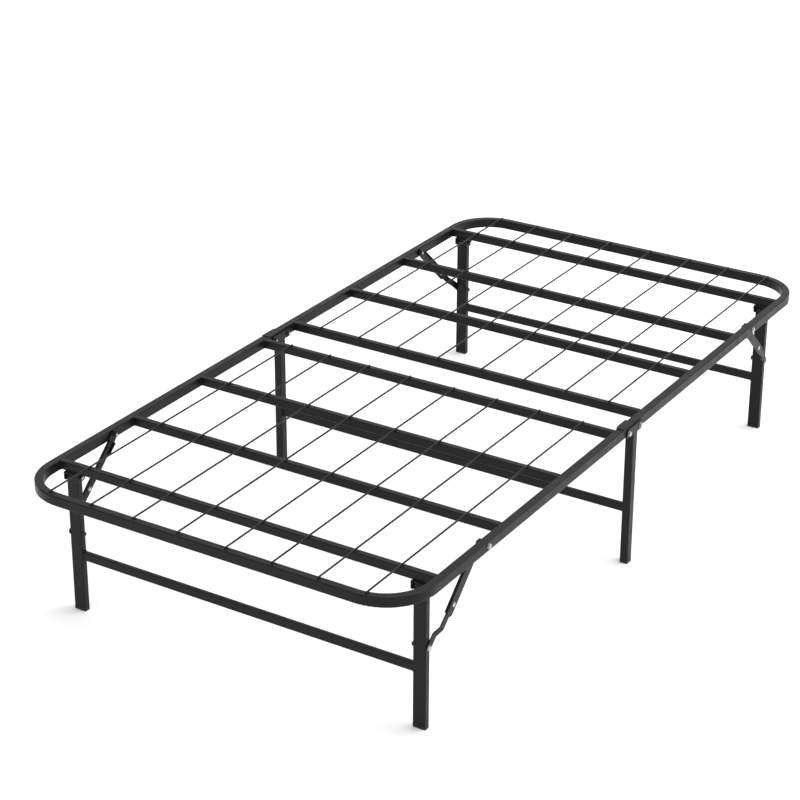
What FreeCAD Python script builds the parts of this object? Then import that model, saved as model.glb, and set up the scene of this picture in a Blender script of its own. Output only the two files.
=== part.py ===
import FreeCAD, Part
import math
import os
from FreeCAD import Vector

os.makedirs("parts", exist_ok=True)

# Folding twin bed base. Millimetres. +Z is up, +X is the sleeper's left-to-right width,
# +Y runs from the foot half to the head half. The origin is on the floor, under the
# middle of the bed, midway between the two centre hinges.

# ---------------------------------------------------------------- driving dimensions
bed_width = 965.0          # outside of the side rails, 38 in
bed_length = 1905.0        # outside of the end rails, 75 in
deck_height = 355.6        # floor to the top of the rails, 14 in

rail_w = 19.0              # deck tube, across
rail_h = 23.0              # deck tube, upright
rail_r = 2.5               # rolled corners of the deck tube
rail_wall = 1.2
corner_r = 105.0           # bend radius of the deck tube's centre line
rail_gap = 3.0             # between the two halves' rail ends

slat_w = 15.0
slat_h = 20.5
slat_r = 2.0
slat_wall = 1.0
slat_first = 63.0          # centre of the slat nearest the hinge
slat_end_space = 122.0     # centre of the slat that carries the end legs, to the end rail
slat_count = 4

wire_d = 4.0
wire_x = (59.0, 170.5, 279.0, 388.0)
wire_overlap = 10.0        # how far each wire reaches onto the end rail
wire_past_slat = 3.0       # how far each wire reaches past the hinge slat's centre

pivot_spacing = 54.0       # between the two bolts of one centre hinge
pivot_up = 7.0             # hinge bolt above the rail's underside
plate_t = 2.5              # hinge bracket plate
plate_half_l = 38.0        # hinge plate, half its length
plate_top_up = 11.0        # hinge plate above its bolts
plate_end_r = 9.0
web_t = 2.0                # bottom web of the hinge bracket
web_half_l = 19.0
under_rail_gap = 0.5       # web to the rail's underside
plate_gap = 0.4            # plate to the rail's side
cap_t = 1.8                # hinge cap welded on the foot half's rail ends
cap_l = 48.5
cap_overhang = 3.0         # how far it reaches past the rail's inner face
cap_taper = 12.0           # length over which it narrows back to the rail

centre_leg_w = 19.5        # centre leg across
centre_leg_d = 21.0        # centre leg fore and aft
centre_leg_y = 8.5         # centre leg's middle, behind the hinge's middle
end_leg_w = 30.0
end_leg_d = 15.0
end_leg_inset = 16.0       # side rail's inner face to the end leg's outer face
leg_wall = 1.2
leg_r = 2.0
foot_pad_h = 6.0           # plastic foot below the tube
foot_plug_h = 14.0         # its plug inside the tube

crossbar_h = 20.0
crossbar_d = 11.0
crossbar_z = 136.5         # crossbar's middle above the floor

leg_pivot_down = 10.6      # end leg's pivot below the slat's underside
bracket_t = 2.5            # end leg bracket
bracket_d = 26.0           # end leg bracket, fore and aft
bracket_drop = 9.5         # end leg bracket, below the pivot
bracket_r = 5.0
side_gap = 0.3             # between parts that turn past each other

brace_span = 173.0         # brace's upper bolt to the end leg, along the bed
brace_rail_up = 11.4       # brace's upper bolt above the rail's underside
brace_leg_down = 136.5     # brace's lower bolt below the end leg's pivot
knee_drop = 2.0            # knee below the straight line when locked
brace_washer_t = 2.0
upper_t = 2.0              # upper link sheet
upper_front = 11.3         # upper link, knee line to its flanged edge
upper_back = 10.7          # upper link, knee line to its plain edge
upper_past_knee = 26.0
upper_flange = 7.0
upper_flange_start = 18.0
upper_tab = 6.5            # short turned-in tab on the plain edge, near the rail bolt
upper_tab_start = 16.0
upper_tab_end = 47.0
lower_t = 2.5              # lower link strip
lower_w = 16.0
joggle_start = 54.0
joggle_end = 70.0

bolt_d = 6.0
bolt_running = 0.05        # radial clearance where a piece turns on a bolt
bolt_flange_d = 12.0
bolt_flange_t = 1.2
hex_af = 10.0
bolt_flange_rise = 0.6     # cone from the flange's rim up to the hexagon
hex_chamfer = 0.8
head_h = 3.6
nut_h = 5.0
rivet_d = 6.0
rivet_head_d = 10.5
rivet_head_h = 1.8
rivet_top_d = 6.5          # flat left on the crown of a rivet head

# ---------------------------------------------------------------- derived positions
half_w = bed_width / 2
half_l = bed_length / 2
rail_inner = half_w - rail_w
rail_bottom = deck_height - rail_h
rail_mid_x = half_w - rail_w / 2
rail_mid_z = deck_height - rail_h / 2
rail_end_y = rail_gap / 2
slat_bottom = deck_height - slat_h
slat_last = half_l - rail_w - slat_end_space
slat_y = [slat_first + i * (slat_last - slat_first) / (slat_count - 1) for i in range(slat_count)]
pivot_y = pivot_spacing / 2
pivot_z = rail_bottom + pivot_up
web_top = rail_bottom - under_rail_gap
web_bottom = web_top - web_t
plate_in = rail_inner - plate_gap - plate_t
plate_out = half_w + plate_gap + plate_t
leg_out = rail_inner - end_leg_inset
leg_in = leg_out - end_leg_w
leg_pivot_z = slat_bottom - leg_pivot_down
brace_rail_y = slat_last - brace_span
brace_rail_z = rail_bottom + brace_rail_up
brace_leg_z = leg_pivot_z - brace_leg_down
upper_face = rail_inner - brace_washer_t - side_gap
upper_inner = upper_face - upper_t
lower_out_top = upper_inner - side_gap
lower_out_foot = leg_out + side_gap + lower_t

# The brace is two links between the rail bolt and the leg bolt. Their lengths are chosen
# so that they are straight (less the knee's lock) with the leg down, and so that the
# upper link lies along the rail with the leg folded.
open_dy = slat_last - brace_rail_y
open_dz = brace_leg_z - brace_rail_z
open_reach = math.hypot(open_dy, open_dz)
leg_arm = leg_pivot_z - brace_leg_z
fold_dy = slat_last - leg_arm - brace_rail_y
fold_dz = leg_pivot_z - brace_rail_z
fold_reach = math.hypot(fold_dy, fold_dz)
upper_len = 0.57 * open_reach
lower_len = 0.43 * open_reach
for _ in range(20):
    slack = knee_drop ** 2 / 2 * (1 / upper_len + 1 / lower_len)
    total = open_reach + slack
    upper_len = (total ** 2 - fold_reach ** 2) / (2 * total - 2 * fold_dy)
    lower_len = total - upper_len

line_angle = math.atan2(open_dz, open_dy)
cos_upper = (upper_len ** 2 + open_reach ** 2 - lower_len ** 2) / (2 * upper_len * open_reach)
upper_angle = line_angle - math.acos(min(1.0, cos_upper))
knee_y = brace_rail_y + upper_len * math.cos(upper_angle)
knee_z = brace_rail_z + upper_len * math.sin(upper_angle)
lower_angle = math.atan2(brace_leg_z - knee_z, slat_last - knee_y)
lower_fold_angle = math.atan2(leg_pivot_z - brace_rail_z, slat_last - leg_arm - brace_rail_y - upper_len)
upper_turn = -math.degrees(upper_angle)
lower_turn = math.degrees((lower_angle - upper_angle) - lower_fold_angle)


# ---------------------------------------------------------------- shape helpers
def outline(points, radii, place):
    """A closed wire through points with each corner rounded; place maps (a, b) to space."""
    n = len(points)
    starts = []
    mids = []
    ends = []
    for i in range(n):
        p = FreeCAD.Vector(points[i][0], points[i][1], 0)
        a = FreeCAD.Vector(points[i - 1][0], points[i - 1][1], 0) - p
        b = FreeCAD.Vector(points[(i + 1) % n][0], points[(i + 1) % n][1], 0) - p
        a.normalize()
        b.normalize()
        r = radii[i]
        half = a.getAngle(b) / 2
        reach = r / math.tan(half)
        bisector = a + b
        bisector.normalize()
        centre = p + bisector * (r / math.sin(half))
        starts.append(p + a * reach)
        mids.append(centre - bisector * r)
        ends.append(p + b * reach)
    edges = []
    for i in range(n):
        if radii[i] > 0:
            edges.append(Part.Arc(place(starts[i]), place(mids[i]), place(ends[i])).toShape())
        nxt = starts[(i + 1) % n]
        if (nxt - ends[i]).Length > 1e-6:
            edges.append(Part.makeLine(place(ends[i]), place(nxt)))
    return Part.Wire(Part.__sortEdges__(edges))


def plate_yz(points, radii, x0, x1):
    """A plate whose outline lies in the YZ plane, from x0 to x1."""
    wire = outline(points, radii, lambda p: Vector(x0, p.x, p.y))
    return Part.Face(wire).extrude(Vector(x1 - x0, 0, 0))


def box(x0, x1, y0, y1, z0, z1):
    return Part.makeBox(x1 - x0, y1 - y0, z1 - z0, Vector(x0, y0, z0))


def rounded_rect(w, h, r, place):
    pts = [(-w / 2, -h / 2), (w / 2, -h / 2), (w / 2, h / 2), (-w / 2, h / 2)]
    return outline(pts, [r] * 4, place)


def tube_x(x0, x1, y, z, d, h, r, wall):
    """A rectangular tube along X."""
    solids = []
    for inset in (0.0, wall):
        place = lambda p: Vector(x0, y + p.x, z + p.y)
        wire = rounded_rect(d - 2 * inset, h - 2 * inset, r - inset, place)
        solids.append(Part.Face(wire).extrude(Vector(x1 - x0, 0, 0)))
    return solids[0].cut(solids[1])


def tube_z(x, y, w, d, z0, z1, r, wall):
    """A rectangular tube along Z: its outside and its bore, as two solids."""
    solids = []
    for inset in (0.0, wall):
        place = lambda p: Vector(x + p.x, y + p.y, z0)
        wire = rounded_rect(w - 2 * inset, d - 2 * inset, r - inset, place)
        solids.append(Part.Face(wire).extrude(Vector(0, 0, z1 - z0)))
    return solids


def rod_x(x0, x1, y, z, d):
    return Part.makeCylinder(d / 2, abs(x1 - x0), Vector(min(x0, x1), y, z), Vector(1, 0, 0))


def hex_x(x0, x1, y, z):
    pts = []
    for i in range(7):
        a = math.radians(60 * i)
        r = hex_af / 2 / math.cos(math.radians(30))
        pts.append(Vector(x0, y + r * math.cos(a), z + r * math.sin(a)))
    return Part.Face(Part.makePolygon(pts)).extrude(Vector(x1 - x0, 0, 0))


def cone_x(x0, x1, y, z, d0, d1):
    """A cone along X, d0 across at x0 and d1 across at x1 (x1 may be the smaller)."""
    way = 1 if x1 > x0 else -1
    return Part.makeCone(d0 / 2, d1 / 2, abs(x1 - x0), Vector(x0, y, z), Vector(way, 0, 0))


def flanged_hex(face, y, z, height, way):
    """A flange with a coned upper side under a chamfered hexagon, standing way (+1, -1) from face."""
    corner_d = hex_af / math.cos(math.radians(30))
    rim = face + way * (bolt_flange_t - bolt_flange_rise)
    seat = face + way * bolt_flange_t
    top = face + way * height
    body = rod_x(face, rim, y, z, bolt_flange_d)
    body = body.fuse(cone_x(rim, seat, y, z, bolt_flange_d, hex_af))
    hexagon = hex_x(face, top, y, z)
    crown = rod_x(face, top - way * hex_chamfer, y, z, corner_d + 0.1)
    crown = crown.fuse(cone_x(top - way * hex_chamfer, top, y, z, corner_d + 0.1, hex_af - hex_chamfer))
    return body.fuse(hexagon.common(crown))


def bolt_head(face, y, z):
    """A flanged hex head standing outward (+X) from face."""
    return flanged_hex(face, y, z, head_h, 1)


def nut(face, y, z):
    """A flanged nut standing inward (-X) from face."""
    return flanged_hex(face, y, z, nut_h, -1)


def rivet_head(face, y, z, way):
    """A low crowned rivet head standing way (+1, -1) from face."""
    rim = face + way * rivet_head_h / 4
    crown = cone_x(rim, face + way * rivet_head_h, y, z, rivet_head_d, rivet_top_d)
    return rod_x(face, rim, y, z, rivet_head_d).fuse(crown)


def nut_with_bore(face, y, z):
    return nut(face, y, z).cut(rod_x(face - nut_h - 1, face + 1, y, z, bolt_d))


def both_sides(shape):
    return [shape, shape.mirror(Vector(0, 0, 0), Vector(1, 0, 0))]


def to_half(shape, half):
    """Parts are drawn on the head half; the foot half is their mirror image."""
    if half == "head":
        return shape
    return shape.mirror(Vector(0, 0, 0), Vector(0, 1, 0))


def to_side(shape, side):
    """Parts are drawn on the right (+X); the left is their mirror image."""
    if side == "right":
        return shape
    return shape.mirror(Vector(0, 0, 0), Vector(1, 0, 0))


def clean(shape):
    """The single solid inside shape."""
    solids = shape.removeSplitter().Solids
    if len(solids) != 1:
        raise ValueError("expected one solid, got %d" % len(solids))
    return solids[0]


saved = []


def save(node, shapes):
    if not isinstance(shapes, list):
        shapes = [shapes]
    shapes = [clean(s) for s in shapes]
    shape = shapes[0] if len(shapes) == 1 else Part.makeCompound(shapes)
    shape.exportStep("parts/%s.step" % node)
    saved.append(node)


# ---------------------------------------------------------------- deck: bent rail tube
# One tube makes a half's two side rails and its end rail, bent at two corners.
arc_mid = corner_r * (1 - math.cos(math.radians(45)))
end_mid_y = half_l - rail_w / 2
p_start = Vector(rail_mid_x, rail_end_y, rail_mid_z)
p_bend = Vector(rail_mid_x, end_mid_y - corner_r, rail_mid_z)
p_arc = Vector(rail_mid_x - arc_mid, end_mid_y - arc_mid, rail_mid_z)
p_end = Vector(rail_mid_x - corner_r, end_mid_y, rail_mid_z)


def left(p):
    return Vector(-p.x, p.y, p.z)


rail_path = Part.Wire([
    Part.makeLine(p_start, p_bend),
    Part.Arc(p_bend, p_arc, p_end).toShape(),
    Part.makeLine(p_end, left(p_end)),
    Part.Arc(left(p_end), left(p_arc), left(p_bend)).toShape(),
    Part.makeLine(left(p_bend), left(p_start)),
])


def swept(inset):
    place = lambda p: Vector(rail_mid_x + p.x, rail_end_y, rail_mid_z + p.y)
    section = rounded_rect(rail_w - 2 * inset, rail_h - 2 * inset, rail_r - inset, place)
    return rail_path.makePipeShell([section], True, False, 1)


deck_tube = swept(0.0).cut(swept(rail_wall))
for x0 in (rail_inner - 1, -half_w - 1):
    turning = rod_x(x0, x0 + rail_w + 2, pivot_y, pivot_z, bolt_d + 2 * bolt_running)
    fixed = rod_x(x0, x0 + rail_w + 2, brace_rail_y, brace_rail_z, bolt_d)
    deck_tube = deck_tube.cut(turning).cut(fixed)

slats = [tube_x(-rail_inner, rail_inner, y, deck_height - slat_h / 2, slat_w, slat_h, slat_r, slat_wall)
         for y in slat_y]

# ---------------------------------------------------------------- deck: wire infill
wire_z = deck_height + wire_d / 2
wire_y0 = slat_first - wire_past_slat
wire_y1 = half_l - rail_w + wire_overlap
wires = [Part.makeCylinder(wire_d / 2, wire_y1 - wire_y0, Vector(s * x, wire_y0, wire_z), Vector(0, 1, 0))
         for x in wire_x for s in (-1, 1)]

# ---------------------------------------------------------------- deck: end leg bracket
# A U of strip under the last slat; the leg hangs between its two ears.
ear_out = leg_out + side_gap + bracket_t
ear_in = leg_in - side_gap - bracket_t
y0 = slat_last - bracket_d / 2
y1 = slat_last + bracket_d / 2
ear_low = leg_pivot_z - bracket_drop
ear_points = [(y0, ear_low), (y1, ear_low), (y1, slat_bottom), (y0, slat_bottom)]
bracket = plate_yz(ear_points, [bracket_r, bracket_r, 0, 0], ear_in, ear_out)
bracket = bracket.cut(box(leg_in - side_gap, leg_out + side_gap, y0 - 1, y1 + 1, ear_low - 1, slat_bottom - bracket_t))
bracket = bracket.cut(rod_x(ear_in - 1, ear_out + 1, slat_last, leg_pivot_z, bolt_d))

leg_pivot_bolt = bolt_head(ear_out, slat_last, leg_pivot_z)
leg_pivot_bolt = leg_pivot_bolt.fuse(rod_x(ear_in - nut_h, ear_out, slat_last, leg_pivot_z, bolt_d))
leg_pivot_nut = nut_with_bore(ear_in, slat_last, leg_pivot_z)

# ---------------------------------------------------------------- deck: brace bolt
brace_nut_face = upper_inner - side_gap
brace_bolt = bolt_head(half_w, brace_rail_y, brace_rail_z)
brace_bolt = brace_bolt.fuse(rod_x(brace_nut_face - nut_h, half_w, brace_rail_y, brace_rail_z, bolt_d))
brace_nut = nut_with_bore(brace_nut_face, brace_rail_y, brace_rail_z)
brace_washer = rod_x(rail_inner - brace_washer_t, rail_inner, brace_rail_y, brace_rail_z, bolt_flange_d)
brace_washer = brace_washer.cut(rod_x(rail_inner - 5, rail_inner + 5, brace_rail_y, brace_rail_z, bolt_d))

# ---------------------------------------------------------------- end legs
leg_top = leg_pivot_z + end_leg_d / 2
outside, bore = tube_z(leg_in + end_leg_w / 2, slat_last, end_leg_w, end_leg_d, foot_pad_h, leg_top, leg_r, leg_wall)
rounding = box(leg_in - 1, leg_out + 1, slat_last - 20, slat_last + 20, 0, leg_pivot_z)
rounding = rounding.fuse(rod_x(leg_in - 1, leg_out + 1, slat_last, leg_pivot_z, end_leg_d))
end_leg = outside.common(rounding).cut(bore)
end_leg = end_leg.cut(rod_x(leg_in - 1, leg_out + 1, slat_last, leg_pivot_z, bolt_d + 2 * bolt_running))
end_leg = end_leg.cut(rod_x(leg_in - 1, leg_out + 1, slat_last, brace_leg_z, bolt_d))

end_crossbar = tube_x(-leg_in, leg_in, slat_last, crossbar_z, crossbar_d, crossbar_h, slat_r, slat_wall)


def foot_pad(x, y, w, d):
    """A plastic foot: a pad the size of the tube with a plug that fills its bore."""
    pad = tube_z(x, y, w, d, 0, foot_pad_h, leg_r, leg_wall)[0]
    plug = tube_z(x, y, w, d, foot_pad_h, foot_pad_h + foot_plug_h, leg_r, leg_wall)[1]
    return pad.fuse(plug)


end_pad = foot_pad(leg_in + end_leg_w / 2, slat_last, end_leg_w, end_leg_d)

# The brace's lower bolt is parted at the leg's outer face, where the linkage is opened:
# its head turns with the lower link, its shank and nut stay with the leg.
leg_stud = nut(leg_in, slat_last, brace_leg_z).fuse(rod_x(leg_in, leg_out, slat_last, brace_leg_z, bolt_d))


# ---------------------------------------------------------------- folding braces
def link_frame(oy, oz, angle):
    """Maps (along, across) to the YZ plane; across is positive toward the knee's free side."""
    c = math.cos(angle)
    s = math.sin(angle)
    return lambda a, b: (oy + a * c + b * s, oz + a * s - b * c)


upper_at = link_frame(brace_rail_y, brace_rail_z, upper_angle)
upper_end = upper_len + upper_past_knee
upper_points = [upper_at(-9.5, -upper_front), upper_at(upper_end, -upper_front), upper_at(upper_end, upper_back),
                upper_at(10.0, upper_back), upper_at(-9.5, 6.0)]
upper_link = plate_yz(upper_points, [9.0, 3.0, 9.0, 12.0, 8.0], upper_inner, upper_face)
flange_points = [upper_at(upper_flange_start, -upper_front), upper_at(upper_end - 3, -upper_front),
                 upper_at(upper_end - 3, -upper_front + upper_t),
                 upper_at(upper_flange_start, -upper_front + upper_t)]
flange = plate_yz(flange_points, [0, 0, 0, 0], upper_face - upper_flange, upper_face)
upper_link = upper_link.fuse(flange)
tab_points = [upper_at(upper_tab_start, upper_back), upper_at(upper_tab_end, upper_back),
              upper_at(upper_tab_end, upper_back - upper_t), upper_at(upper_tab_start, upper_back - upper_t)]
upper_link = upper_link.fuse(plate_yz(tab_points, [0, 0, 0, 0], upper_face - upper_tab, upper_face))
upper_link = upper_link.cut(rod_x(upper_inner - 1, upper_face + 1, brace_rail_y, brace_rail_z,
                                  bolt_d + 2 * bolt_running))
upper_link = upper_link.cut(rod_x(upper_inner - 1, upper_face + 1, knee_y, knee_z, rivet_d))

lower_in_top = lower_out_top - lower_t
rivet = rod_x(lower_in_top - side_gap, upper_face, knee_y, knee_z, rivet_d)
rivet = rivet.fuse(rivet_head(upper_face, knee_y, knee_z, 1))
rivet = rivet.fuse(rivet_head(lower_in_top - side_gap, knee_y, knee_z, -1))

# The lower link is drawn along +Y from the knee, then turned to its angle.
r_end = lower_w / 2
lower_side = [(-r_end, lower_in_top), (joggle_start, lower_in_top), (joggle_end, lower_out_foot - lower_t),
              (lower_len + r_end, lower_out_foot - lower_t), (lower_len + r_end, lower_out_foot),
              (joggle_end, lower_out_foot), (joggle_start, lower_out_top), (-r_end, lower_out_top)]
side_wire = outline(lower_side, [0, 4, 4, 0, 0, 4, 4, 0], lambda p: Vector(p.y, p.x, -lower_w))
lower_link = Part.Face(side_wire).extrude(Vector(0, 0, 2 * lower_w))
plan = [(-r_end, -r_end), (lower_len + r_end, -r_end), (lower_len + r_end, r_end), (-r_end, r_end)]
lower_link = lower_link.common(plate_yz(plan, [r_end - 0.01] * 4, leg_out, rail_inner))
lower_link = lower_link.cut(rod_x(leg_out, rail_inner, 0, 0, rivet_d + 2 * bolt_running))
lower_link = lower_link.cut(rod_x(leg_out, rail_inner, lower_len, 0, bolt_d))
lower_link.rotate(Vector(0, 0, 0), Vector(1, 0, 0), math.degrees(lower_angle))
lower_link.translate(Vector(0, knee_y, knee_z))

leg_bolt_head = bolt_head(lower_out_foot, slat_last, brace_leg_z)
leg_bolt_head = leg_bolt_head.fuse(rod_x(leg_out + side_gap, lower_out_foot, slat_last, brace_leg_z, bolt_d))

# ---------------------------------------------------------------- write the two halves
for half in ("foot", "head"):
    save(half + "_rail_tube", to_half(deck_tube, half))
    for i, slat in enumerate(slats):
        save("%s_slat_%d" % (half, i + 1), to_half(slat, half))
    save(half + "_wires", [to_half(w, half) for w in wires])
    save(half + "_leg_pivot_bolts", [to_half(s, half) for s in both_sides(leg_pivot_bolt)])
    save(half + "_leg_pivot_nuts", [to_half(s, half) for s in both_sides(leg_pivot_nut)])
    save(half + "_brace_bolts", [to_half(s, half) for s in both_sides(brace_bolt)])
    brace_nuts = both_sides(brace_nut) + both_sides(brace_washer)
    save(half + "_brace_nuts", [to_half(s, half) for s in brace_nuts])
    save(half + "_crossbar", to_half(end_crossbar, half))
    save(half + "_leg_pads", [to_half(s, half) for s in both_sides(end_pad)])
    save(half + "_leg_studs", [to_half(s, half) for s in both_sides(leg_stud)])
    for side in ("left", "right"):
        tag = "%s_%s" % (half, side)
        save(tag + "_leg_bracket", to_half(to_side(bracket, side), half))
        save(tag + "_leg", to_half(to_side(end_leg, side), half))
        save(tag + "_upper_link", to_half(to_side(upper_link, side), half))
        save(tag + "_rivet", to_half(to_side(rivet, side), half))
        save(tag + "_lower_link", to_half(to_side(lower_link, side), half))
        save(tag + "_leg_bolt", to_half(to_side(leg_bolt_head, side), half))

# ---------------------------------------------------------------- hinge caps, foot half
cap_far = -rail_end_y - cap_l
cap_points = [(rail_inner, cap_far), (half_w, cap_far), (half_w, -rail_end_y),
              (rail_inner - cap_overhang, -rail_end_y), (rail_inner - cap_overhang, cap_far + cap_taper)]
cap_wire = outline(cap_points, [0.5, 0.5, 0.5, 1.5, 8.0], lambda p: Vector(p.x, p.y, deck_height))
cap = Part.Face(cap_wire).extrude(Vector(0, 0, cap_t))
cap_edges = [e for e in cap.Edges if abs(e.BoundBox.ZMin - deck_height - cap_t) < 1e-6]
cap = cap.makeChamfer(0.9, cap_edges)
save("hinge_caps", both_sides(cap))

# ---------------------------------------------------------------- centre stand
centre_leg_mid = rail_mid_x
leg_x0 = centre_leg_mid - centre_leg_w / 2
outside, bore = tube_z(centre_leg_mid, centre_leg_y, centre_leg_w, centre_leg_d, foot_pad_h, web_bottom, leg_r, leg_wall)
centre_leg = outside.cut(bore)
centre_pad = foot_pad(centre_leg_mid, centre_leg_y, centre_leg_w, centre_leg_d)

centre_crossbar = tube_x(-leg_x0, leg_x0, centre_leg_y, crossbar_z, crossbar_d, crossbar_h, slat_r, slat_wall)

# The hinge bracket is a U of plate: two rounded side plates joined by a short web that
# stays clear of both rails as they swing down.
top = pivot_z + plate_top_up
side_points = [(-plate_half_l, web_bottom), (plate_half_l, web_bottom), (plate_half_l, top), (-plate_half_l, top)]
bracket_block = plate_yz(side_points, [plate_end_r] * 4, plate_in, plate_out)
between = box(plate_in + plate_t, plate_out - plate_t, -plate_half_l - 1, plate_half_l + 1, web_top, top + 1)
ends = box(plate_in + plate_t, plate_out - plate_t, web_half_l, plate_half_l + 1, web_bottom - 1, top + 1)
bracket_block = bracket_block.cut(between).cut(ends)
bracket_block = bracket_block.cut(ends.mirror(Vector(0, 0, 0), Vector(0, 1, 0)))
hinge_bolt_parts = []
hinge_nut_parts = []
for y in (-pivot_y, pivot_y):
    bracket_block = bracket_block.cut(rod_x(plate_in - 1, plate_out + 1, y, pivot_z, bolt_d))
    bolt = bolt_head(plate_out, y, pivot_z).fuse(rod_x(plate_in - nut_h, plate_out, y, pivot_z, bolt_d))
    hinge_bolt_parts += both_sides(bolt)
    hinge_nut_parts += both_sides(nut_with_bore(plate_in, y, pivot_z))

for side in ("left", "right"):
    save("centre_%s_leg" % side, to_side(centre_leg, side))
    save("%s_hinge_bracket" % side, to_side(bracket_block, side))
save("centre_crossbar", centre_crossbar)
save("centre_leg_pads", both_sides(centre_pad))
save("hinge_bolts", hinge_bolt_parts)
save("hinge_nuts", hinge_nut_parts)

print("nodes", len(saved))
print("hinge pivot y %.3f z %.3f" % (pivot_y, pivot_z))
print("leg pivot y %.3f z %.3f" % (slat_last, leg_pivot_z))
print("brace bolt y %.3f z %.3f" % (brace_rail_y, brace_rail_z))
print("knee y %.3f z %.3f" % (knee_y, knee_z))
print("upper link %.3f lower link %.3f" % (upper_len, lower_len))
print("upper turn %.4f lower turn %.4f" % (upper_turn, lower_turn))
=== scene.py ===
import math
import random

import bmesh
import bpy
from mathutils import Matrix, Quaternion, Vector


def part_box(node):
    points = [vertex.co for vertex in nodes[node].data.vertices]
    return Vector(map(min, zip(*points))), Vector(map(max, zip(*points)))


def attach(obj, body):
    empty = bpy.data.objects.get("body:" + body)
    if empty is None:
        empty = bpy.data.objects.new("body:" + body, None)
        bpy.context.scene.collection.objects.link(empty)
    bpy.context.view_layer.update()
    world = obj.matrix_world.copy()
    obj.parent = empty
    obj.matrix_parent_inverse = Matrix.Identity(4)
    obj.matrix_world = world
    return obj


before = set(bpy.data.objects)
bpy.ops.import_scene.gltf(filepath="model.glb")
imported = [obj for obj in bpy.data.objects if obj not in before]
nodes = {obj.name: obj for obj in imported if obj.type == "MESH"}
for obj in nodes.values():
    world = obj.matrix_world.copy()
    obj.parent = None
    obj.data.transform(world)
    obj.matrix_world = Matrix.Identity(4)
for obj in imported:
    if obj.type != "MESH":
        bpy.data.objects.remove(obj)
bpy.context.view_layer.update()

# ------------------------------------------------------------------ deck rails
# Each half of the bed is one rectangular steel tube bent round two corners, its two ends
# drilled for the centre hinge. It is sprayed with black powder and baked, which leaves a
# satin skin with a fine orange-peel grain, a little thinner and paler along the edges.

MM = 0.001


def group_socket(group, name, where, kind, value=None):
    socket = group.interface.new_socket(name=name, in_out=where, socket_type=kind)
    if value is not None:
        socket.default_value = value
    return socket


def link(tree, a, b):
    tree.links.new(a, b)


def math_node(tree, operation, a, b=None, clamp=False):
    node = tree.nodes.new("ShaderNodeMath")
    node.operation = operation
    node.use_clamp = clamp
    for socket, value in zip(node.inputs, (a, b)):
        if value is None:
            continue
        if isinstance(value, (int, float)):
            socket.default_value = value
        else:
            link(tree, value, socket)
    return node.outputs[0]


def noise_node(tree, where, scale, detail, rough=0.5):
    node = tree.nodes.new("ShaderNodeTexNoise")
    node.inputs["Detail"].default_value = detail
    node.inputs["Roughness"].default_value = rough
    link(tree, where, node.inputs["Vector"])
    if isinstance(scale, (int, float)):
        node.inputs["Scale"].default_value = scale
    else:
        link(tree, scale, node.inputs["Scale"])
    return node.outputs["Fac"]


def spread(tree, value, low, high, out_low=0.0, out_high=1.0):
    node = tree.nodes.new("ShaderNodeMapRange")
    node.interpolation_type = "SMOOTHSTEP"
    for name, number in (("From Min", low), ("From Max", high), ("To Min", out_low), ("To Max", out_high)):
        if isinstance(number, (int, float)):
            node.inputs[name].default_value = number
        else:
            link(tree, number, node.inputs[name])
    link(tree, value, node.inputs["Value"])
    return node.outputs["Result"]


NIB_SHARE = 0.35            # scale of the stray nibs, as a share of the orange peel's
NIB_HEIGHT = 0.8
DRIFT_SCALE = 7.0           # slow change of tone along a tube
CLOUD_SCALE = 55.0          # patches a couple of centimetres across
DRIFT_PART = 0.6


def make_coat_grain():
    """Powder coat: orange peel for the bump, slow drifts in tone and in gloss."""
    group = bpy.data.node_groups.new("coat_grain", "ShaderNodeTree")
    group_socket(group, "Grain Scale", "INPUT", "NodeSocketFloat", 900.0)
    group_socket(group, "Gloss Low", "INPUT", "NodeSocketFloat", 0.36)
    group_socket(group, "Gloss High", "INPUT", "NodeSocketFloat", 0.5)
    group_socket(group, "Tone", "OUTPUT", "NodeSocketFloat")
    group_socket(group, "Roughness", "OUTPUT", "NodeSocketFloat")
    group_socket(group, "Height", "OUTPUT", "NodeSocketFloat")
    given = group.nodes.new("NodeGroupInput")
    put = group.nodes.new("NodeGroupOutput")
    where = group.nodes.new("ShaderNodeTexCoord").outputs["Object"]
    peel = noise_node(group, where, given.outputs["Grain Scale"], 2.0)
    nib_scale = math_node(group, "MULTIPLY", given.outputs["Grain Scale"], NIB_SHARE)
    nibs = spread(group, noise_node(group, where, nib_scale, 1.0), 0.66, 0.78)
    height = math_node(group, "ADD", peel, math_node(group, "MULTIPLY", nibs, NIB_HEIGHT))
    drift = noise_node(group, where, DRIFT_SCALE, 3.0)
    cloud = noise_node(group, where, CLOUD_SCALE, 2.0)
    slow = math_node(group, "MULTIPLY", drift, DRIFT_PART)
    patchy = math_node(group, "MULTIPLY", cloud, 1 - DRIFT_PART)
    tone = math_node(group, "ADD", slow, patchy)
    link(group, spread(group, tone, 0.35, 0.65), put.inputs["Tone"])
    gloss = spread(group, cloud, 0.3, 0.7, given.outputs["Gloss Low"], given.outputs["Gloss High"])
    link(group, gloss, put.inputs["Roughness"])
    link(group, height, put.inputs["Height"])
    return group


CHIP_SCALE = 130.0          # breaks in the rubbed edge
EDGE_SAMPLES = 4


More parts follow.
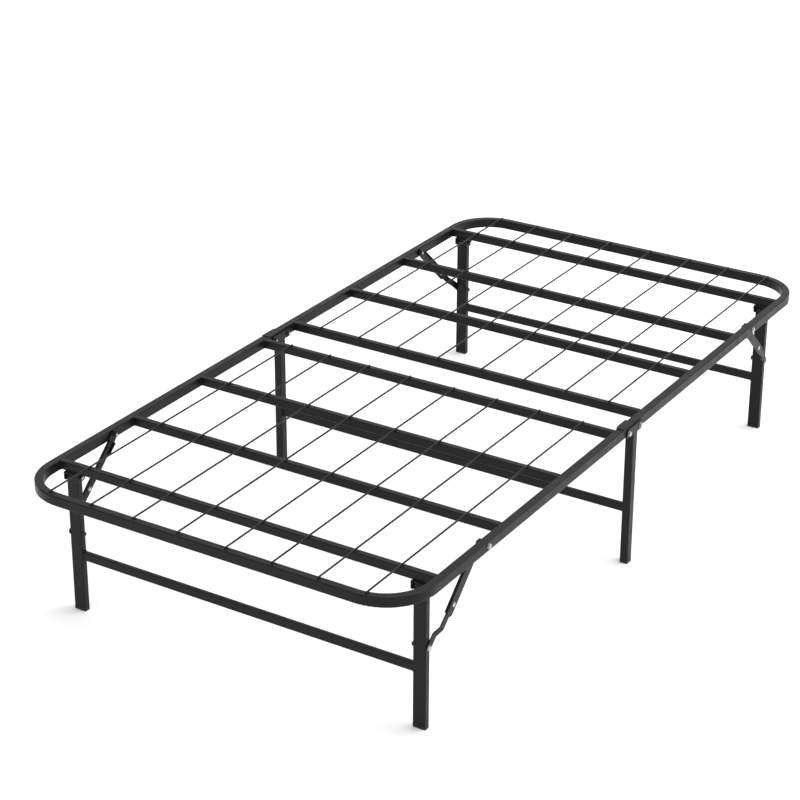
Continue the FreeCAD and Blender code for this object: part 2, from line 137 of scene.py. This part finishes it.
def make_edge_rub():
    """Edges: a softened normal, and a broken mask where handling has polished the corner."""
    group = bpy.data.node_groups.new("edge_rub", "ShaderNodeTree")
    group_socket(group, "Width", "INPUT", "NodeSocketFloat", 0.0008)
    group_socket(group, "Amount", "INPUT", "NodeSocketFloat", 0.6)
    group_socket(group, "Mask", "OUTPUT", "NodeSocketFloat")
    group_socket(group, "Normal", "OUTPUT", "NodeSocketVector")
    given = group.nodes.new("NodeGroupInput")
    put = group.nodes.new("NodeGroupOutput")
    where = group.nodes.new("ShaderNodeTexCoord").outputs["Object"]
    bevel = group.nodes.new("ShaderNodeBevel")
    bevel.samples = EDGE_SAMPLES
    link(group, given.outputs["Width"], bevel.inputs["Radius"])
    dot = group.nodes.new("ShaderNodeVectorMath")
    dot.operation = "DOT_PRODUCT"
    link(group, bevel.outputs["Normal"], dot.inputs[0])
    link(group, group.nodes.new("ShaderNodeNewGeometry").outputs["Normal"], dot.inputs[1])
    turned = spread(group, math_node(group, "SUBTRACT", 1.0, dot.outputs["Value"]), 0.01, 0.2)
    broken = spread(group, noise_node(group, where, CHIP_SCALE, 4.0, 0.6), 0.42, 0.62)
    mask = math_node(group, "MULTIPLY", turned, broken)
    link(group, math_node(group, "MULTIPLY", mask, given.outputs["Amount"], True), put.inputs["Mask"])
    link(group, bevel.outputs["Normal"], put.inputs["Normal"])
    return group


COAT_GRAIN = make_coat_grain()
EDGE_RUB = make_edge_rub()


def mix_colour(tree, mask, a, b):
    node = tree.nodes.new("ShaderNodeMix")
    node.data_type = "RGBA"
    link(tree, mask, node.inputs["Factor"])
    for name, value in (("A", a), ("B", b)):
        socket = [s for s in node.inputs if s.name == name and s.type == "RGBA"][0]
        if isinstance(value, tuple):
            socket.default_value = (*value, 1.0)
        else:
            link(tree, value, socket)
    return [s for s in node.outputs if s.type == "RGBA"][0]


def grained(name, group, dark, light, rub_colour, grain, gloss, rub_width, rub_amount, bump, depth):
    """A material with a grain group and an edge group feeding one Principled shader."""
    material = bpy.data.materials.new(name)
    material.use_nodes = True
    tree = material.node_tree
    shader = tree.nodes["Principled BSDF"]
    skin = tree.nodes.new("ShaderNodeGroup")
    skin.node_tree = group
    skin.inputs["Grain Scale"].default_value = grain
    skin.inputs["Gloss Low"].default_value = gloss[0]
    skin.inputs["Gloss High"].default_value = gloss[1]
    rub = tree.nodes.new("ShaderNodeGroup")
    rub.node_tree = EDGE_RUB
    rub.inputs["Width"].default_value = rub_width
    rub.inputs["Amount"].default_value = rub_amount
    base = mix_colour(tree, skin.outputs["Tone"], dark, light)
    link(tree, mix_colour(tree, rub.outputs["Mask"], base, rub_colour), shader.inputs["Base Color"])
    link(tree, skin.outputs["Roughness"], shader.inputs["Roughness"])
    lump = tree.nodes.new("ShaderNodeBump")
    lump.inputs["Strength"].default_value = bump
    lump.inputs["Distance"].default_value = depth
    link(tree, skin.outputs["Height"], lump.inputs["Height"])
    link(tree, rub.outputs["Normal"], lump.inputs["Normal"])
    link(tree, lump.outputs["Normal"], shader.inputs["Normal"])
    return material, shader


COAT_LEVEL = 0.195          # specular level of the black coat
COAT_DARK = (0.0034, 0.0034, 0.0037)
COAT_LIGHT = (0.0062, 0.0062, 0.0066)
COAT_WORN = (0.030, 0.030, 0.031)
PEEL_DEPTH = 0.25 * MM


def powder_coat(name, grain=900.0, gloss=(0.34, 0.46), shade=1.0, rub=0.5, rub_width=0.9 * MM, bump=0.16):
    """Black powder coat; shade scales its tones, rub says how far the edges are polished."""
    dark, light, worn = (tuple(shade * v for v in tone) for tone in (COAT_DARK, COAT_LIGHT, COAT_WORN))
    material, shader = grained(name, COAT_GRAIN, dark, light, worn, grain, gloss,
                               rub_width, rub, bump, PEEL_DEPTH)
    shader.inputs["Specular IOR Level"].default_value = COAT_LEVEL
    return material


def finish_nodes(names, material):
    """Gives CAD nodes their finish; their meshes stay as they are."""
    for name in names:
        mesh = nodes[name].data
        mesh.materials.clear()
        mesh.materials.append(material)


rail_coat = powder_coat("rail_coat")
finish_nodes(["foot_rail_tube", "head_rail_tube"], rail_coat)

# ------------------------------------------------------------------ slats
# Four smaller tubes cross each half, their tops level with the rails. Each end butts
# against the rail's inner face and is welded down both sides and underneath.

slat_coat = powder_coat("slat_coat", grain=980.0, shade=1.05)
weld_coat = powder_coat("weld_coat", grain=1500.0, gloss=(0.4, 0.52), shade=1.1, rub=0.25,
                        rub_width=0.4 * MM, bump=0.3)
beads = random.Random(11)
HALVES = (("foot", -1), ("head", 1))
SIDES = (("left", -1), ("right", 1))


def rounded_corners(points, radius, steps=4):
    """An open path with each inner corner replaced by a short arc."""
    out = [Vector(points[0])]
    for a, p, b in zip(points, points[1:], points[2:]):
        a, p, b = Vector(a), Vector(p), Vector(b)
        start = p + (a - p).normalized() * radius
        end = p + (b - p).normalized() * radius
        for i in range(steps + 1):
            t = i / steps
            out.append(start * (1 - t) ** 2 + p * 2 * t * (1 - t) + end * t ** 2)
    out.append(Vector(points[-1]))
    return out


def along(points, step):
    """Points a step apart along a path, with their directions."""
    spots = []
    for a, b in zip(points, points[1:]):
        n = max(1, round((b - a).length / step))
        spots += [(a.lerp(b, i / n), (b - a).normalized()) for i in range(n)]
    spots.append((points[-1], (points[-1] - points[-2]).normalized()))
    return spots


BEAD_END = 0.45             # thickness of a bead's very end, as a share
BEAD_TAPER_STEPS = 4
RIPPLE_HEIGHT = 0.10
BEAD_UNEVEN = 0.05


def add_bead(bm, points, radius, ripple=2.1 * MM, sides=8, step=0.6 * MM):
    """A weld bead: a rippled round run of metal, tapered at both ends."""
    spots = along(points, step)
    count = len(spots)
    phase = beads.random() * math.tau
    rings = []
    travelled = 0.0
    for i, (p, way) in enumerate(spots):
        if i:
            travelled += (p - spots[i - 1][0]).length
        taper = min(1.0, BEAD_END + (1 - BEAD_END) * min(i, count - 1 - i) / BEAD_TAPER_STEPS)
        wave = 1 + RIPPLE_HEIGHT * math.cos(travelled / ripple * math.tau + phase)
        wave += BEAD_UNEVEN * beads.uniform(-1, 1)
        r = radius * taper * wave
        across = Vector((0.3, 0.2, 1.0)) if abs(way.z) < 0.9 else Vector((1.0, 0.3, 0.1))
        side = way.cross(across).normalized()
        up = side.cross(way).normalized()
        turns = [math.tau * k / sides for k in range(sides)]
        ring = [bm.verts.new(p + side * r * math.cos(a) + up * r * math.sin(a)) for a in turns]
        rings.append(ring)
    for a, b in zip(rings, rings[1:]):
        for k in range(sides):
            bm.faces.new((a[k], a[(k + 1) % sides], b[(k + 1) % sides], b[k]))
    bm.faces.new(tuple(reversed(rings[0])))
    bm.faces.new(tuple(rings[-1]))


def piece_from(name, bm, material, body):
    """Turns a bmesh into a smooth piece that rides on a body."""
    bmesh.ops.recalc_face_normals(bm, faces=bm.faces)
    mesh = bpy.data.meshes.new(name)
    bm.to_mesh(mesh)
    bm.free()
    for face in mesh.polygons:
        face.use_smooth = True
    mesh.materials.append(material)
    piece = bpy.data.objects.new(name, mesh)
    bpy.context.scene.collection.objects.link(piece)
    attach(piece, body)
    return piece


BEAD_CORNER = 2.0 * MM      # radius that a bead takes round a tube's corner
SLAT_BEAD = 1.7 * MM
SLAT_BEAD_BELOW_TOP = 3.2 * MM
SLAT_NUMBERS = (1, 2, 3, 4)
for half, _ in HALVES:
    finish_nodes(["%s_slat_%d" % (half, i) for i in SLAT_NUMBERS], slat_coat)
    bm = bmesh.new()
    for i in SLAT_NUMBERS:
        low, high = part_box("%s_slat_%d" % (half, i))
        for x in (low.x, high.x):
            end_z = high.z - SLAT_BEAD_BELOW_TOP
            run = [(x, low.y, end_z), (x, low.y, low.z), (x, high.y, low.z), (x, high.y, end_z)]
            add_bead(bm, rounded_corners(run, BEAD_CORNER), SLAT_BEAD)
    piece_from("%s_slat_welds" % half, bm, weld_coat, half + "_deck")

# ------------------------------------------------------------------ deck wires
# Eight drawn wires lie along each half, on top of the slats and the end rail. Each
# crossing is a resistance weld, which squeezes a low collar of metal out round the wire.

wire_coat = powder_coat("wire_coat", grain=1400.0, gloss=(0.32, 0.42), shade=1.25,
                        rub=0.2, rub_width=0.3 * MM)
WIRE_XS = (0.059, 0.1705, 0.279, 0.388)
COLLAR_HALF_X = 3.5 * MM
COLLAR_HALF_Y = 4.0 * MM
COLLAR_HEIGHT = 1.7 * MM
COLLAR_SINK = 0.15 * MM     # how far the collar is let into the tube's top
COLLAR_SKIRT = 0.3 * MM     # how far its rim turns under
LAST_WELD_IN = 4.0 * MM     # the end rail's weld, from the wire's end


def add_collar(bm, centre, half_x, half_y, height, rings=4, sides=14):
    """A low mound squeezed out of a resistance weld, a little uneven."""
    lean = beads.uniform(-0.15, 0.15)
    top = bm.verts.new(centre + Vector((0, 0, height)))
    loops = []
    for j in range(1, rings + 1):
        t = j / rings
        loop = []
        for k in range(sides):
            a = math.tau * k / sides
            wob = 1 + 0.08 * beads.uniform(-1, 1)
            x = half_x * t * math.cos(a) * wob
            y = half_y * t * math.sin(a) * wob * (1 + lean * math.sin(a))
            z = height * math.cos(t * math.pi / 2) - (COLLAR_SKIRT if j == rings else 0.0)
            loop.append(bm.verts.new(centre + Vector((x, y, z))))
        loops.append(loop)
    for k in range(sides):
        bm.faces.new((top, loops[0][k], loops[0][(k + 1) % sides]))
    for a, b in zip(loops, loops[1:]):
        for k in range(sides):
            bm.faces.new((a[k], b[k], b[(k + 1) % sides], a[(k + 1) % sides]))
    bm.faces.new(tuple(reversed(loops[-1])))


for half, s in HALVES:
    finish_nodes([half + "_wires"], wire_coat)
    bm = bmesh.new()
    crossings = []
    for i in SLAT_NUMBERS:
        low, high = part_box("%s_slat_%d" % (half, i))
        crossings.append(((low.y + high.y) / 2, high.z))
    rail_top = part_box(half + "_rail_tube")[1].z
    wire_low, wire_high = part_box(half + "_wires")
    end_y = wire_high.y - LAST_WELD_IN if s > 0 else wire_low.y + LAST_WELD_IN
    crossings.append((end_y, rail_top))
    for y, z in crossings:
        for x in WIRE_XS:
            for _, sx in SIDES:
                crossing = Vector((sx * x, y, z - COLLAR_SINK))
                add_collar(bm, crossing, COLLAR_HALF_X, COLLAR_HALF_Y, COLLAR_HEIGHT)
    piece_from("%s_wire_welds" % half, bm, weld_coat, half + "_deck")

# ------------------------------------------------------------------ hinge caps
# A strip of plate is welded on top of each rail end of the foot half, at the centre
# hinge. It stands a little proud of the rail's inner face and narrows away from the hinge.

cap_coat = powder_coat("cap_coat", grain=850.0, shade=1.1, rub=0.7, rub_width=0.7 * MM)
finish_nodes(["hinge_caps"], cap_coat)

# ------------------------------------------------------------------ end leg brackets
# Under the last slat of each half hang two U-shaped brackets of bent strip, welded to the
# slat along their front and back edges; each end leg swings between its bracket's ears.

bracket_coat = powder_coat("bracket_coat", grain=820.0, shade=1.1, rub=0.8, rub_width=0.8 * MM)
BRACKET_BEAD = 1.8 * MM
BRACKET_BEAD_INSET = 2.5 * MM
for half, _ in HALVES:
    bm = bmesh.new()
    for side, _ in SIDES:
        name = "%s_%s_leg_bracket" % (half, side)
        finish_nodes([name], bracket_coat)
        low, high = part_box(name)
        slat_low, slat_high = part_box(half + "_slat_4")
        for y in (slat_low.y, slat_high.y):
            run = [Vector((low.x + BRACKET_BEAD_INSET, y, high.z)),
                   Vector((high.x - BRACKET_BEAD_INSET, y, high.z))]
            add_bead(bm, run, BRACKET_BEAD)
    piece_from("%s_bracket_welds" % half, bm, weld_coat, half + "_deck")

# ------------------------------------------------------------------ end legs
# Each end has two rectangular tube legs joined low down by a flat crossbar, so that they
# swing as one. The tops are cut round to turn inside their brackets.

leg_coat = powder_coat("leg_coat", grain=880.0, shade=0.95)
bar_coat = powder_coat("bar_coat", grain=940.0, shade=1.0)
BAR_BEAD = 1.7 * MM


def bar_welds(bm, bar_name):
    """Beads right round both ends of a crossbar."""
    low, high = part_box(bar_name)
    middle = (low.y + high.y) / 2
    for x in (low.x, high.x):
        run = [(x, middle, high.z), (x, low.y, high.z), (x, low.y, low.z), (x, high.y, low.z),
               (x, high.y, high.z), (x, middle, high.z)]
        add_bead(bm, rounded_corners(run, BEAD_CORNER), BAR_BEAD)


for half, _ in HALVES:
    finish_nodes(["%s_%s_leg" % (half, side) for side, _ in SIDES], leg_coat)
    finish_nodes([half + "_crossbar"], bar_coat)
    bm = bmesh.new()
    bar_welds(bm, half + "_crossbar")
    piece_from("%s_crossbar_welds" % half, bm, weld_coat, half + "_legs")

# ------------------------------------------------------------------ plastic feet
# Every leg ends in a moulded black plastic foot pushed into the tube. It is matt, with
# the mould's fine spark-eroded texture and scuffs where it stands on the floor.

PAD_DARK = (0.0075, 0.0075, 0.0078)
PAD_LIGHT = (0.013, 0.013, 0.0135)
PAD_SCUFFED = (0.035, 0.035, 0.035)
PAD_LEVEL = 0.35
pad_plastic, pad_shader = grained("pad_plastic", COAT_GRAIN, PAD_DARK, PAD_LIGHT, PAD_SCUFFED,
                                  2600.0, (0.5, 0.66), rub_width=0.8 * MM, rub_amount=0.6,
                                  bump=0.25, depth=0.15 * MM)
pad_shader.inputs["Specular IOR Level"].default_value = PAD_LEVEL
finish_nodes(["foot_leg_pads", "head_leg_pads", "centre_leg_pads"], pad_plastic)

# ------------------------------------------------------------------ folding braces
# From rail to leg runs a brace of two links: a pressed upper link with a turned-in edge,
# and a flat lower link that is cranked inwards to the leg. A rivet makes the knee.

link_coat = powder_coat("link_coat", grain=800.0, gloss=(0.32, 0.44), shade=1.15,
                        rub=0.9, rub_width=0.7 * MM)
for half, _ in HALVES:
    for side, _ in SIDES:
        tag = "%s_%s" % (half, side)
        finish_nodes([tag + "_upper_link", tag + "_lower_link"], link_coat)

# ------------------------------------------------------------------ centre stand
# The two halves meet on a stand of two square legs and a crossbar. A U-shaped plate
# bracket is welded on each leg's top, on three sides, and holds each rail end by one bolt.

stand_coat = powder_coat("stand_coat", grain=880.0, shade=0.98)
plate_coat = powder_coat("plate_coat", grain=760.0, gloss=(0.32, 0.44), shade=1.15,
                         rub=0.9, rub_width=0.8 * MM)
finish_nodes(["centre_left_leg", "centre_right_leg"], stand_coat)
finish_nodes(["centre_crossbar"], bar_coat)
finish_nodes(["left_hinge_bracket", "right_hinge_bracket"], plate_coat)
STAND_BEAD = 1.9 * MM
STAND_BEAD_STOP = 3.0 * MM  # clear of the leg's rear face, where the rail folds against it
bm = bmesh.new()
bar_welds(bm, "centre_crossbar")
for side, _ in SIDES:
    low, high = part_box("centre_%s_leg" % side)
    stop_y = high.y - STAND_BEAD_STOP
    run = [(low.x, stop_y, high.z), (low.x, low.y, high.z),
           (high.x, low.y, high.z), (high.x, stop_y, high.z)]
    add_bead(bm, rounded_corners(run, BEAD_CORNER), STAND_BEAD)
piece_from("stand_welds", bm, weld_coat, "stand")

# ------------------------------------------------------------------ bolts, nuts and rivets
# The pivots are M6 flanged hex bolts with lock nuts, and the knees are headed rivets.
# Bolts and rivets are bright zinc plated, cloudy from the bath; the nuts are blackened.


CRYSTAL_SCALE = 1600.0
ZINC_CLOUD_SCALE = 300.0


def make_zinc_bloom():
    """Zinc plate: small crystals in the gloss, a faint cloud in the tone."""
    group = bpy.data.node_groups.new("zinc_bloom", "ShaderNodeTree")
    group_socket(group, "Grain Scale", "INPUT", "NodeSocketFloat", CRYSTAL_SCALE)
    group_socket(group, "Gloss Low", "INPUT", "NodeSocketFloat", 0.2)
    group_socket(group, "Gloss High", "INPUT", "NodeSocketFloat", 0.42)
    group_socket(group, "Tone", "OUTPUT", "NodeSocketFloat")
    group_socket(group, "Roughness", "OUTPUT", "NodeSocketFloat")
    group_socket(group, "Height", "OUTPUT", "NodeSocketFloat")
    given = group.nodes.new("NodeGroupInput")
    put = group.nodes.new("NodeGroupOutput")
    where = group.nodes.new("ShaderNodeTexCoord").outputs["Object"]
    crystals = group.nodes.new("ShaderNodeTexVoronoi")
    link(group, where, crystals.inputs["Vector"])
    link(group, given.outputs["Grain Scale"], crystals.inputs["Scale"])
    cloud = noise_node(group, where, ZINC_CLOUD_SCALE, 3.0)
    link(group, spread(group, cloud, 0.3, 0.7), put.inputs["Tone"])
    gloss = spread(group, cloud, 0.3, 0.75, given.outputs["Gloss Low"], given.outputs["Gloss High"])
    link(group, gloss, put.inputs["Roughness"])
    link(group, crystals.outputs["Distance"], put.inputs["Height"])
    return group


ZINC_BLOOM = make_zinc_bloom()


def plated(name, dark, light, worn, gloss):
    """A zinc plate on small turned steel parts."""
    material, shader = grained(name, ZINC_BLOOM, dark, light, worn, CRYSTAL_SCALE, gloss,
                               rub_width=0.5 * MM, rub_amount=0.8, bump=0.12, depth=0.1 * MM)
    shader.inputs["Metallic"].default_value = 1.0
    return material


bright_zinc = plated("bright_zinc", dark=(0.36, 0.365, 0.38), light=(0.56, 0.56, 0.565),
                     worn=(0.90, 0.90, 0.88), gloss=(0.18, 0.34))
black_zinc = plated("black_zinc", dark=(0.030, 0.030, 0.031), light=(0.055, 0.055, 0.056),
                    worn=(0.30, 0.30, 0.29), gloss=(0.28, 0.42))
for name in nodes:
    if name.endswith(("bolts", "_bolt", "rivet")):
        finish_nodes([name], bright_zinc)
    elif name.endswith(("nuts", "studs")):
        finish_nodes([name], black_zinc)

# ------------------------------------------------------------------ floor
# A plain pale studio floor, painted matt and broad enough to fill every view. The frame
# stands on it with its six plastic feet.

FLOOR_REACH = 40.0
FLOOR_PAINT = (0.88, 0.88, 0.88, 1)
floor_mesh = bpy.data.meshes.new("studio_floor")
floor_mesh.from_pydata([(-FLOOR_REACH, -FLOOR_REACH, 0), (FLOOR_REACH, -FLOOR_REACH, 0),
                        (FLOOR_REACH, FLOOR_REACH, 0), (-FLOOR_REACH, FLOOR_REACH, 0)], [], [(0, 1, 2, 3)])
floor = bpy.data.objects.new("studio_floor", floor_mesh)
bpy.context.scene.collection.objects.link(floor)
floor_paint = bpy.data.materials.new("floor_paint")
floor_paint.use_nodes = True
floor_shader = floor_paint.node_tree.nodes["Principled BSDF"]
floor_shader.inputs["Base Color"].default_value = FLOOR_PAINT
floor_shader.inputs["Roughness"].default_value = 0.95
floor_shader.inputs["Specular IOR Level"].default_value = 0.0
floor_mesh.materials.append(floor_paint)

# ------------------------------------------------------------------ light
# A pale studio: the surround is bright near the horizon and dimmer overhead, and one
# broad soft light stands above. A second hangs over the floor beyond the right side.

SKY_LOW = 1.0
SKY_HIGH = 0.35
SKY_STRENGTH = 1.0
SKY_DIMS_FROM = 0.35        # height on the sky's dome where it starts to dim
SKY_DIMS_TO = 0.95
world = bpy.data.worlds.new("studio")
bpy.context.scene.world = world
world.use_nodes = True
sky = world.node_tree
direction = sky.nodes.new("ShaderNodeTexCoord").outputs["Generated"]
split = sky.nodes.new("ShaderNodeSeparateXYZ")
link(sky, direction, split.inputs[0])
brightness = spread(sky, split.outputs["Z"], SKY_DIMS_FROM, SKY_DIMS_TO, SKY_LOW, SKY_HIGH)
background = sky.nodes["Background"]
background.inputs["Strength"].default_value = SKY_STRENGTH
link(sky, brightness, background.inputs["Color"])

SOFT_ENERGY = 2.0
SOFT_ANGLE = math.radians(60)
SOFT_TURN = (math.radians(-8), math.radians(10), 0)
soft_lamp = bpy.data.lights.new("soft_lamp", "SUN")
soft_lamp.energy = SOFT_ENERGY
soft_lamp.angle = SOFT_ANGLE
soft_light = bpy.data.objects.new("soft_lamp", soft_lamp)
soft_light.rotation_euler = SOFT_TURN
bpy.context.scene.collection.objects.link(soft_light)

SIDE_SIZE = 6.0
SIDE_ENERGY = 190.0
SIDE_AT = (3.2, 2.6, 4.6)
side_lamp = bpy.data.lights.new("side_lamp", "AREA")
side_lamp.shape = "DISK"
side_lamp.size = SIDE_SIZE
side_lamp.energy = SIDE_ENERGY
side_light = bpy.data.objects.new("side_lamp", side_lamp)
side_light.location = SIDE_AT
bpy.context.scene.collection.objects.link(side_light)
bpy.context.scene.view_settings.view_transform = "Standard"

# ------------------------------------------------------------------ camera
# The camera stands about five metres off the foot end's right corner and well above the
# bed, with a long lens. Its turn, tilt and roll are in degrees.

CAMERA_AT = (2.4196, -4.0790, 2.5263)
CAMERA_TURN = 31.96
CAMERA_TILT = -23.91
CAMERA_ROLL = 0.18
CAMERA_LENS = 101.93
CAMERA_SHIFT = -0.0675
view_camera = bpy.data.cameras.new("view_camera")
view_camera.sensor_width = 36.0
view_camera.lens = CAMERA_LENS
view_camera.shift_y = CAMERA_SHIFT
view_camera.clip_end = 200.0
camera = bpy.data.objects.new("view_camera", view_camera)
camera.location = CAMERA_AT
turn, tilt, roll = (math.radians(v) for v in (CAMERA_TURN, CAMERA_TILT, CAMERA_ROLL))
facing = Vector((-math.sin(turn) * math.cos(tilt), math.cos(turn) * math.cos(tilt), math.sin(tilt)))
camera.rotation_mode = "QUATERNION"
camera.rotation_quaternion = facing.to_track_quat("-Z", "Y") @ Quaternion((0, 0, 1), roll)
bpy.context.scene.collection.objects.link(camera)
bpy.context.scene.camera = camera
